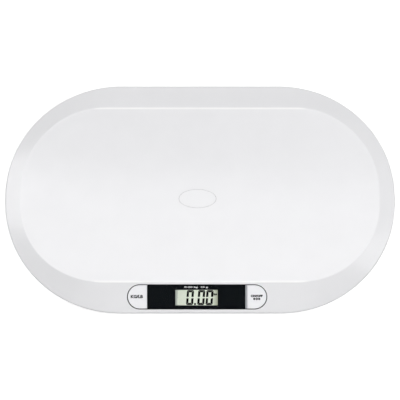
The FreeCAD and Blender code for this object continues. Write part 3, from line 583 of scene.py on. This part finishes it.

# %% [markdown]
# ## Black print and tape
# The black round the display is screen printed on the back of the lens, and foam tape holds it down.
# A narrow grey strip at its right end is a painted highlight, for the light that the lens's right
# edge reflects. Ink is dense and flat with tiny pinholes, and tape has a fine weave.

# %% Black print and tape
glint_width = 2.2 * mm
glint_blur = 0.05 * mm
print_black, tree, shader, place = start_finish("print_black")
pinholes = between(tree, speckle(tree, place, 3000, 2), 0.0, 1.0, 0.6, 0.8)
lens_x = tree.nodes.new("ShaderNodeSeparateXYZ")
tree.links.new(place, lens_x.inputs["Vector"])
# The grey strip at the right end is a painted highlight of the lens's edge.
glint_start = lens_right - glint_width
glint_share = between(tree, lens_x.outputs["X"], 0.0, 1.0, glint_start - glint_blur, glint_start + glint_blur)
ink_colour = shade(tree, pinholes, paint(17, 21, 24), paint(25, 29, 33))
tree.links.new(shade(tree, glint_share, ink_colour, paint(204, 206, 211)), shader.inputs["Base Color"])
tree.links.new(between(tree, speckle(tree, place, 500, 2), 0.5, 0.62), shader.inputs["Roughness"])
shader.inputs["Specular IOR Level"].default_value = 0.0
dress(print_black, "lens_mask")
tape_black, tree, shader, place = start_finish("tape_black")
weave = tree.nodes.new("ShaderNodeTexWave")
weave.inputs["Scale"].default_value = 420
tree.links.new(place, weave.inputs["Vector"])
threads = weave.outputs["Fac"]
tree.links.new(shade(tree, threads, paint(18, 19, 21), paint(32, 33, 35)), shader.inputs["Base Color"])
tree.links.new(between(tree, threads, 0.7, 0.85, 0, 1), shader.inputs["Roughness"])
shader.inputs["Specular IOR Level"].default_value = 0.2
relief(tree, shader, threads, 2e-5)
dress(tape_black, "lens_tape")

# %% [markdown]
# ## Clear lens
# The lens is clear acrylic. A real pane lets lamp light through to what lies behind it, but a path
# tracer would have to find that light by chance. So rays from lamps pass it as if it were open,
# and every other ray meets glass with fine handling marks in its polish. Its coating against
# reflections is a low refractive index, because the mirror strength of glass comes from that.

# %% Clear lens
coated_index = 1.1
lens_clear, tree, shader, place = start_finish("lens_clear")
shader.inputs["Base Color"].default_value = (1, 1, 1, 1)
shader.inputs["Transmission Weight"].default_value = 1.0
shader.inputs["IOR"].default_value = coated_index
marks = speckle(tree, stretch(tree, place, (60, 400, 400), turned=(0, 0, 0.5)), 1.0, 5.0)
tree.links.new(between(tree, marks, 0.015, 0.045, 0.45, 0.8), shader.inputs["Roughness"])
open_path = tree.nodes.new("ShaderNodeBsdfTransparent")
lamp_ray = tree.nodes.new("ShaderNodeLightPath")
pane = tree.nodes.new("ShaderNodeMixShader")
tree.links.new(lamp_ray.outputs["Is Shadow Ray"], pane.inputs["Fac"])
tree.links.new(shader.outputs["BSDF"], pane.inputs[1])
tree.links.new(open_path.outputs["BSDF"], pane.inputs[2])
tree.links.new(pane.outputs["Shader"], tree.nodes["Material Output"].inputs["Surface"])
dress(lens_clear, "display_lens")

# %% [markdown]
# ## Display glass
# A reflective display shows the colour of its rear film, a greenish grey. Towards both ends of the
# window the colour is painted darker: painted shade for the light that the frame keeps out. The film
# has a fine sparkle, and a faint glow of its own: painted light that lifts it where its recess leaves
# it dim.

# %% Display glass
painted_film_glow = 0.27
window_left = panel_middle.x - 30.4 * mm
window_width = 59.1 * mm
# The end stops are darker: painted shade at the window's ends. The middle stops are the film's own
# colour.
film_tones_and_painted_shade = ((0.0, paint(158, 165, 158)), (0.1, paint(214, 222, 207)), (0.4, paint(226, 234, 218)),
                (0.84, paint(226, 233, 218)), (1.0, paint(164, 171, 149)))
film, tree, shader, place = start_finish("display_film")
axes = tree.nodes.new("ShaderNodeSeparateXYZ")
tree.links.new(place, axes.inputs["Vector"])
across = between(tree, axes.outputs["X"], 0.0, 1.0, window_left, window_left + window_width)
tones = bands(tree, across, film_tones_and_painted_shade, "LINEAR")
sparkle = between(tree, speckle(tree, place, 2600, 2), 0.0, 0.1)
tree.links.new(shade(tree, sparkle, tones, paint(160, 166, 154)), shader.inputs["Base Color"])
tree.links.new(between(tree, speckle(tree, place, 900, 2), 0.34, 0.44), shader.inputs["Roughness"])
shader.inputs["Specular IOR Level"].default_value = 0.3
# The film glows in its own colour though it is no lamp: painted light.
tree.links.new(tones, shader.inputs["Emission Color"])
shader.inputs["Emission Strength"].default_value = painted_film_glow
dress(film, "lcd_glass")

# %% [markdown]
# ## Display figures
# A seven-segment figure is six strokes round its edge and one across the middle, each cut on the
# slant where it meets the next, with a hair of space between. One stroke is an outline in
# millimetres, made into a thin plate just above the film. Lit strokes are black and the unlit ones
# show as a faint ghost.

# %% Strokes of one figure
figure_width = 9.9
figure_height = 21.1
figure_lean = 0.074
stroke = 3.1
bar_stroke = 3.0
corner_cut = 1.3
space = 0.14
end_gap = 0.75
end_slant = 0.4
bar_tip = 0.5
bar_shoulder = 1.5
bar_thinning = 0.8
film_gap = 0.02
film_rise = top_over_face("lcd_glass") + film_gap


def figure_strokes():
    """Outlines of the seven strokes about the figure's middle, named a to g."""
    right = figure_width / 2
    top = figure_height / 2
    half_cut = corner_cut / 2
    bar = bar_stroke / 2 * bar_thinning
    tip = right - bar_tip
    shoulder = right - bar_shoulder
    a = [(-right + half_cut + space, top - half_cut), (-right + corner_cut, top),
         (right - corner_cut, top), (right - half_cut - space, top - half_cut),
         (right - stroke - space, top - bar_stroke), (-right + stroke + space, top - bar_stroke)]
    f = [(-right, top - corner_cut - space), (-right + half_cut, top - half_cut - space),
         (-right + stroke, top - bar_stroke - space), (-right + stroke, end_gap + end_slant),
         (-right, end_gap)]
    g = [(-tip, 0), (-shoulder, bar), (shoulder, bar), (tip, 0), (shoulder, -bar), (-shoulder, -bar)]
    strokes = {"a": a, "f": f, "g": g}
    strokes["b"] = [(-x, y) for x, y in f]
    strokes["e"] = [(x, -y) for x, y in f]
    strokes["c"] = [(-x, -y) for x, y in f]
    strokes["d"] = [(x, -y) for x, y in a]
    return {letter: [(x + y * figure_lean, y) for x, y in ring] for letter, ring in strokes.items()}


print("display film lies", round(film_rise, 2), "mm under the panel's face")


# %% Plates from outlines
def plates(name, outlines, rise, thickness):
    """Thin closed plates from outlines in millimetres, lying on the panel at a height."""
    mesh = bpy.data.meshes.new(name)
    shape = bmesh.new()
    for outline in outlines:
        area = sum(a[0] * b[1] - b[0] * a[1] for a, b in zip(outline, outline[1:] + outline[:1]))
        ring = outline if area > 0 else outline[::-1]
        low = [shape.verts.new((x * mm, y * mm, rise * mm)) for x, y in ring]
        high = [shape.verts.new((x * mm, y * mm, (rise + thickness) * mm)) for x, y in ring]
        shape.faces.new(high)
        shape.faces.new(low[::-1])
        for index in range(len(ring)):
            after = (index + 1) % len(ring)
            shape.faces.new((low[index], low[after], high[after], high[index]))
    shape.to_mesh(mesh)
    shape.free()
    piece = bpy.data.objects.new(name, mesh)
    scene.collection.objects.link(piece)
    return piece


lit_thickness = 0.04
ghost_thickness = 0.03
strokes = figure_strokes()
lit_shape = plates("lit_shape", [strokes[letter] for letter in "abcdef"], 0, lit_thickness)
ghost_shape = plates("ghost_shape", [strokes[letter] for letter in "abcdefg"], 0, ghost_thickness)
print("strokes:", sorted(strokes))

# %% [markdown]
# ## Repeating with Geometry Nodes
# The same figure stands at several places. A small node tree puts a copy of a shape on every
# vertex of a guide mesh, makes the copies real and gives them their finish. The guide holds only
# the places, so the figures can be moved by changing one list.


# %% A tree that repeats a shape
def start_tree(name, inputs):
    """Geometry node tree with named inputs and one geometry output."""
    tree = bpy.data.node_groups.new(name, "GeometryNodeTree")
    for label, kind in inputs:
        tree.interface.new_socket(label, in_out="INPUT", socket_type=kind)
    tree.interface.new_socket("Geometry", in_out="OUTPUT", socket_type="NodeSocketGeometry")
    return tree, tree.nodes.new("NodeGroupInput"), tree.nodes.new("NodeGroupOutput")


def end_tree(tree, result, entry, output):
    """Makes copies real, gives them the finish and sends them out."""
    real = tree.nodes.new("GeometryNodeRealizeInstances")
    coat = tree.nodes.new("GeometryNodeSetMaterial")
    tree.links.new(result, real.inputs["Geometry"])
    tree.links.new(real.outputs["Geometry"], coat.inputs["Geometry"])
    tree.links.new(entry.outputs["Finish"], coat.inputs["Material"])
    tree.links.new(coat.outputs["Geometry"], output.inputs["Geometry"])


def grow(name, tree, values, guide=()):
    """Runs a tree on a guide of points and keeps the result as a plain mesh."""
    mesh = bpy.data.meshes.new(name + "_guide")
    mesh.from_pydata(list(guide), [], [])
    host = bpy.data.objects.new(name + "_guide", mesh)
    scene.collection.objects.link(host)
    modifier = host.modifiers.new(name, "NODES")
    modifier.node_group = tree
    sockets = {item.name: item.identifier for item in tree.interface.items_tree
               if item.in_out == "INPUT"}
    for label, value in values.items():
        modifier[sockets[label]] = value
    graph = bpy.context.evaluated_depsgraph_get()
    made = bpy.data.meshes.new_from_object(host.evaluated_get(graph))
    made.name = name
    piece = bpy.data.objects.new(name, made)
    scene.collection.objects.link(piece)
    bpy.data.objects.remove(host)
    print(name, "has", len(made.polygons), "faces")
    return piece


figure_tree, entry, output = start_tree("figures_at_places", (
    ("Places", "NodeSocketGeometry"), ("Shape", "NodeSocketObject"), ("Size", "NodeSocketFloat"),
    ("Finish", "NodeSocketMaterial")))
shape_info = figure_tree.nodes.new("GeometryNodeObjectInfo")
copies = figure_tree.nodes.new("GeometryNodeInstanceOnPoints")
figure_tree.links.new(entry.outputs["Places"], copies.inputs["Points"])
figure_tree.links.new(entry.outputs["Shape"], shape_info.inputs["Object"])
figure_tree.links.new(shape_info.outputs["Geometry"], copies.inputs["Instance"])
figure_tree.links.new(entry.outputs["Size"], copies.inputs["Scale"])
end_tree(figure_tree, copies.outputs["Instances"], entry, output)
print("tree ready:", figure_tree.name)

# %% [markdown]
# ## Figures on the display
# Three noughts stand to the right, with a point after the first, and an unlit place is at the left.
# Figures are grown flat at the origin and only then moved to the sloping panel, mesh and all.


# %% Ink of the display
def display_ink(name, dark, pale, glow):
    """Liquid crystal ink, a touch uneven, with the share of the film's painted glow that it lets
    through.
    """
    finish, tree, shader, place = start_finish(name)
    uneven = between(tree, speckle(tree, place, 1500, 2), 0.0, 1.0)
    tree.links.new(shade(tree, uneven, dark, pale), shader.inputs["Base Color"])
    tree.links.new(between(tree, speckle(tree, place, 700, 2), 0.4, 0.5), shader.inputs["Roughness"])
    shader.inputs["Specular IOR Level"].default_value = 0.0
    shader.inputs["Emission Color"].default_value = pale
    shader.inputs["Emission Strength"].default_value = glow
    return finish


ink_lit = display_ink("ink_lit", paint(9, 11, 11), paint(15, 17, 16), 0.0)
# The ghost strokes share the film's painted glow.
ink_ghost = display_ink("ink_ghost", paint(218, 226, 211), paint(214, 222, 207), painted_film_glow)


def to_panel(piece, body):
    """Moves a flat piece's mesh to the panel and lets it ride with a body."""
    piece.data.transform(panel_place)
    piece.data.update()
    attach(piece, body)


# %% Figures in place
nought_places = (-9.9, 5.75, 17.25)
blank_places = (-22.4,)
figure_level = -1.5
point_outline = [(-4.3, -12.0), (-1.7, -12.0), (-1.6, -9.3), (-4.2, -9.3)]


def figures(name, shape, finish, places):
    """Copies of a shape at places along the display."""
    grown = grow(name, figure_tree, {"Shape": shape, "Size": 1.0, "Finish": finish},
                 [(x * mm, figure_level * mm, film_rise * mm) for x in places])
    to_panel(grown, "case")


figures("display_figures", lit_shape, ink_lit, nought_places)
figures("display_ghosts", ghost_shape, ink_ghost, blank_places)
bar_shape = plates("bar_shape", [strokes["g"]], 0, ghost_thickness)
figures("display_unlit_bars", bar_shape, ink_ghost, nought_places)
point = plates("display_point", [point_outline], film_rise, lit_thickness)
point.data.materials.append(ink_lit)
to_panel(point, "case")
for shape in (lit_shape, ghost_shape, bar_shape):
    bpy.data.objects.remove(shape)

# %% [markdown]
# ## Printed words and signs
# Letters are text objects turned into thin raised prints. Each print is made a mesh at the origin,
# scaled to the width and height that the real print has, and then laid on its surface. Ink on a
# key is thin, so its colour varies a little with the grain below it.

# %% Print tools
print_thickness = 0.03
letter_depth = 0.01


def ink(name, dark, pale):
    """Pad-printed ink, a little thinner in places."""
    finish, tree, shader, place = start_finish(name)
    thin = between(tree, speckle(tree, place, 2200, 3), 0.0, 1.0, 0.5, 0.75)
    tree.links.new(shade(tree, thin, dark, pale), shader.inputs["Base Color"])
    tree.links.new(between(tree, speckle(tree, place, 900, 2), 0.45, 0.58), shader.inputs["Roughness"])
    shader.inputs["Specular IOR Level"].default_value = 0.3
    return finish


def lettering(name, words, middle, width, height, rise, bold, finish):
    """Letters as a thin print, fitted to a width and height in millimetres about a middle."""
    text = bpy.data.curves.new(name + "_text", "FONT")
    text.body = words
    text.size = 1.0
    text.offset = bold
    text.resolution_u = 4
    text.extrude = letter_depth
    writer = bpy.data.objects.new(name + "_text", text)
    scene.collection.objects.link(writer)
    graph = bpy.context.evaluated_depsgraph_get()
    mesh = bpy.data.meshes.new_from_object(writer.evaluated_get(graph))
    bpy.data.objects.remove(writer)
    points = [vertex.co for vertex in mesh.vertices]
    left, right = span(points, Vector((1, 0, 0)))
    low, high = span(points, Vector((0, 1, 0)))
    deep, near = span(points, Vector((0, 0, 1)))
    fit = Matrix.Diagonal((width * mm / (right - left), height * mm / (high - low),
                           print_thickness * mm / (near - deep), 1))
    centre = Matrix.Translation((-(left + right) / 2, -(low + high) / 2, -deep))
    place = Matrix.Translation((middle[0] * mm, middle[1] * mm, rise * mm))
    mesh.transform(place @ fit @ centre)
    mesh.name = name
    mesh.materials.clear()
    mesh.materials.append(finish)
    piece = bpy.data.objects.new(name, mesh)
    scene.collection.objects.link(piece)
    print(name, "reads", repr(words))
    return piece


# %% [markdown]
# ## What is printed
# The left key changes the unit and the right one turns the scale on and off and sets it to nought.
# The lens carries the weighing range in white, on its underside above the window, and the display
# shows its unit in the top right corner.

# %% Prints in place
print_gap = 0.01
key_top = top_over_face("unit_key") + print_gap
mask_top = top_over_face("lens_mask") + print_gap
ink_dark = ink("ink_dark", paint(18, 18, 21), paint(30, 30, 33))
ink_white = ink("ink_white", paint(250, 250, 251), paint(236, 237, 239))
unit_words = lettering("unit_key_print", "KG/LB", middle=(-84.0, 0.55), width=17.0, height=4.7,
                       rise=key_top, bold=0.055, finish=ink_dark)
to_panel(unit_words, "unit_key")

power_middle = 83.0
nought_level = -2.7
power_words = lettering("power_key_print", "ON/OFF", middle=(power_middle, 1.4), width=16.6, height=3.5,
                        rise=key_top, bold=0.075, finish=ink_dark)
to_panel(power_words, "power_key")
nought = lettering("power_key_nought", "0", middle=(power_middle, nought_level), width=3.2, height=3.7,
                   rise=key_top, bold=0.07, finish=ink_dark)
to_panel(nought, "power_key")

arrow = [(1.0, 1.6), (2.6, 1.6), (2.6, 2.9), (4.9, 0.0), (2.6, -2.9), (2.6, -1.6), (1.0, -1.6)]
arrow_size = 0.8
arrow_reach = 5.6
arrows = plates("power_key_arrows", [
    [(power_middle - arrow_reach + x * arrow_size, nought_level + y * arrow_size) for x, y in arrow],
    [(power_middle + arrow_reach - x * arrow_size, nought_level + y * arrow_size) for x, y in arrow],
], key_top, print_thickness)
arrows.data.materials.append(ink_dark)
to_panel(arrows, "power_key")

caption = lettering("lens_range_print", "0-20 kg  10 g", middle=(-1.4, 13.3), width=33.0, height=2.7,
                    rise=mask_top, bold=0.045, finish=ink_white)
to_panel(caption, "case")
unit_sign = lettering("display_unit", "kg", middle=(25.4, 2.9), width=5.0, height=4.8,
                      rise=film_rise, bold=0.055, finish=ink_lit)
to_panel(unit_sign, "case")

# %% [markdown]
# ## Painted shade round the badge
# The oval badge is glued into its pocket. A thin grey closed tube lies in the gap all round it, painted
# shade that darkens the gap as its shadow would. Its places come from the badge's own upper edge,
# so it follows the curve of the hollow wherever the badge lies.

# %% Painted gap shade
gap_shade_steps = 120
gap_shade_sides = 6
gap_shade_radius = 0.19 * mm
gap_shade_depth = 0.45 * mm
probe_height = 5 * mm
badge = frame["nodes"]["badge_plate"]
badge_low, badge_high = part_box("badge_plate")
badge_middle = box_middle("badge_plate")
badge_half = (badge_high - badge_low) / 2


def gap_shade_line():
    """Points round the badge, just outside its edge and a little below its face."""
    line = []
    for step in range(gap_shade_steps):
        turned = 2 * math.pi * step / gap_shade_steps
        x = badge_middle.x + (badge_half.x + gap_shade_radius) * math.cos(turned)
        y = badge_middle.y + (badge_half.y + gap_shade_radius) * math.sin(turned)
        edge = badge.closest_point_on_mesh(Vector((x, y, badge_high.z + probe_height)))[1]
        line.append(Vector((x, y, edge.z - gap_shade_depth)))
    return line


def closed_tube(name, line, radius, sides):
    """A closed tube along a closed line of points."""
    mesh = bpy.data.meshes.new(name)
    shape = bmesh.new()
    rings = []
    for index, point in enumerate(line):
        forward = (line[(index + 1) % len(line)] - line[index - 1]).normalized()
        outward = forward.cross(Vector((0, 0, 1))).normalized()
        upward = outward.cross(forward)
        turns = [2 * math.pi * side / sides for side in range(sides)]
        rings.append([shape.verts.new(point + outward * radius * math.cos(turned)
                                      + upward * radius * math.sin(turned)) for turned in turns])
    for index, ring in enumerate(rings):
        after = rings[(index + 1) % len(rings)]
        for side in range(sides):
            beside = (side + 1) % sides
            shape.faces.new((ring[side], after[side], after[beside], ring[beside]))
    bmesh.ops.recalc_face_normals(shape, faces=shape.faces)
    shape.to_mesh(mesh)
    shape.free()
    piece = bpy.data.objects.new(name, mesh)
    scene.collection.objects.link(piece)
    return piece


# The grey tube in the badge's gap is painted shade.
bead_grey = rubber("bead_grey", paint(150, 151, 154), paint(162, 163, 166), (0.5, 0.62), 1600, 8e-6)
gap_shade = closed_tube("badge_bead", gap_shade_line(), gap_shade_radius, gap_shade_sides)
gap_shade.data.materials.append(bead_grey)
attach(gap_shade, "case")
print("bead has", len(gap_shade.data.polygons), "faces")

# %% [markdown]
# ## Tread on the feet
# A foot's rubber pad has two ring-shaped grooves, and small lugs cross each groove so that it grips
# in every direction. The lugs repeat round a ring, so a node tree places a block at every point of
# a circle and turns it to face outwards.

# %% A tree for a ring of lugs
lug_tree, entry, output = start_tree("ring_of_lugs", (
    ("Lugs", "NodeSocketInt"), ("Ring Radius", "NodeSocketFloat"), ("Lug Depth", "NodeSocketFloat"),
    ("Lug Width", "NodeSocketFloat"), ("Lug Height", "NodeSocketFloat"), ("Middle", "NodeSocketVector"),
    ("Finish", "NodeSocketMaterial")))
ring = lug_tree.nodes.new("GeometryNodeMeshCircle")
lug_tree.links.new(entry.outputs["Lugs"], ring.inputs["Vertices"])
lug_tree.links.new(entry.outputs["Ring Radius"], ring.inputs["Radius"])
lug_size = lug_tree.nodes.new("ShaderNodeCombineXYZ")
lug_tree.links.new(entry.outputs["Lug Depth"], lug_size.inputs["X"])
lug_tree.links.new(entry.outputs["Lug Width"], lug_size.inputs["Y"])
lug_tree.links.new(entry.outputs["Lug Height"], lug_size.inputs["Z"])
block = lug_tree.nodes.new("GeometryNodeMeshCube")
lug_tree.links.new(lug_size.outputs["Vector"], block.inputs["Size"])
spot = lug_tree.nodes.new("GeometryNodeInputPosition")
spot_axes = lug_tree.nodes.new("ShaderNodeSeparateXYZ")
lug_tree.links.new(spot.outputs["Position"], spot_axes.inputs["Vector"])
angle = combine(lug_tree, "ARCTAN2", spot_axes.outputs["Y"], spot_axes.outputs["X"])
facing = lug_tree.nodes.new("ShaderNodeCombineXYZ")
lug_tree.links.new(angle, facing.inputs["Z"])
outwards = lug_tree.nodes.new("FunctionNodeEulerToRotation")
lug_tree.links.new(facing.outputs["Vector"], outwards.inputs["Euler"])
lugs = lug_tree.nodes.new("GeometryNodeInstanceOnPoints")
lug_tree.links.new(ring.outputs["Mesh"], lugs.inputs["Points"])
lug_tree.links.new(block.outputs["Mesh"], lugs.inputs["Instance"])
lug_tree.links.new(outwards.outputs["Rotation"], lugs.inputs["Rotation"])
shift = lug_tree.nodes.new("GeometryNodeTransform")
lug_tree.links.new(lugs.outputs["Instances"], shift.inputs["Geometry"])
lug_tree.links.new(entry.outputs["Middle"], shift.inputs["Translation"])
end_tree(lug_tree, shift.outputs["Geometry"], entry, output)

# %% Lugs on every foot
lug_depth = 1.0 * mm
lug_width = 0.9 * mm
lug_height = 0.8 * mm
lug_level = 0.6 * mm
lug_rings = (("inner", 7.5 * mm, 18), ("outer", 13.5 * mm, 30))
for pad in parts("foot_pad"):
    middle = box_middle(pad)
    corner = pad.replace("foot_pad_", "")
    for ring_name, ring_radius, count in lug_rings:
        lug = grow("foot_lugs_" + ring_name + "_" + corner, lug_tree, {
            "Lugs": count, "Ring Radius": ring_radius, "Lug Depth": lug_depth,
            "Lug Width": lug_width, "Lug Height": lug_height,
            "Middle": (middle.x, middle.y, lug_level), "Finish": rubbers["pad_rubber"]})
        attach(lug, "foot_" + corner)

# %% [markdown]
# ## Load cell tongues
# A load cell measures weight because its tongue bends when a foot is pushed up. A solid part can't
# bend, so each cell is cut in two along the tongue's root. The rim stays with the case, and the
# tongue is cut across into a few rows of points, from the root to the shoulder.

# %% Cut every load cell along its tongue's root
tongue_root = 8.0 * mm
tongue_side = 9.3 * mm
shoulder_edge = 5.2 * mm
bend_rows = 4
wall_slack = 0.5 * mm
weld_reach = 0.002 * mm


def cell_part(name, cell, inward, keep_tongue):
    """Closed copy of a load cell's tongue, or of the rim round it."""
    middle = box_middle(cell)
    shape = bmesh.new()
    shape.from_mesh(frame["nodes"][cell].data)
    bmesh.ops.remove_doubles(shape, verts=shape.verts[:], dist=weld_reach)
    for row in range(bend_rows + 1):
        reach = tongue_root + (shoulder_edge - tongue_root) * row / bend_rows
        bmesh.ops.bisect_plane(shape, geom=shape.verts[:] + shape.edges[:] + shape.faces[:],
                               plane_co=(0, middle.y + inward * reach, 0), plane_no=(0, 1, 0))
    spare = []
    for face in shape.faces:
        away = face.calc_center_median() - middle
        on_tongue = (abs(away.x) < tongue_side + wall_slack
                     and -tongue_side - wall_slack < inward * away.y < tongue_root)
        if on_tongue != keep_tongue:
            spare.append(face)
    bmesh.ops.delete(shape, geom=spare, context="FACES")
    bmesh.ops.holes_fill(shape, edges=[edge for edge in shape.edges if edge.is_boundary], sides=0)
    bmesh.ops.recalc_face_normals(shape, faces=shape.faces[:])
    open_edges = sum(1 for edge in shape.edges if not edge.is_manifold)
    mesh = bpy.data.meshes.new(name)
    shape.to_mesh(mesh)
    shape.free()
    mesh.materials.append(metals["cell_steel"])
    piece = bpy.data.objects.new(name, mesh)
    scene.collection.objects.link(piece)
    print(name, "has", len(mesh.polygons), "faces,", open_edges, "open edges")
    return piece


for cup in parts("foot_cup_"):
    corner = cup.replace("foot_cup_", "")
    cell = "load_cell_" + corner
    inward = 1 if corner.startswith("front") else -1
    rim = cell_part("cell_rim_" + corner, cell, inward, keep_tongue=False)
    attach(rim, "case")
    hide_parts(cell)
    tongue = cell_part("cell_tongue_" + corner, cell, inward, keep_tongue=True)
    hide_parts(cell)
    middle = box_middle(cell)
    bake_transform(tongue)
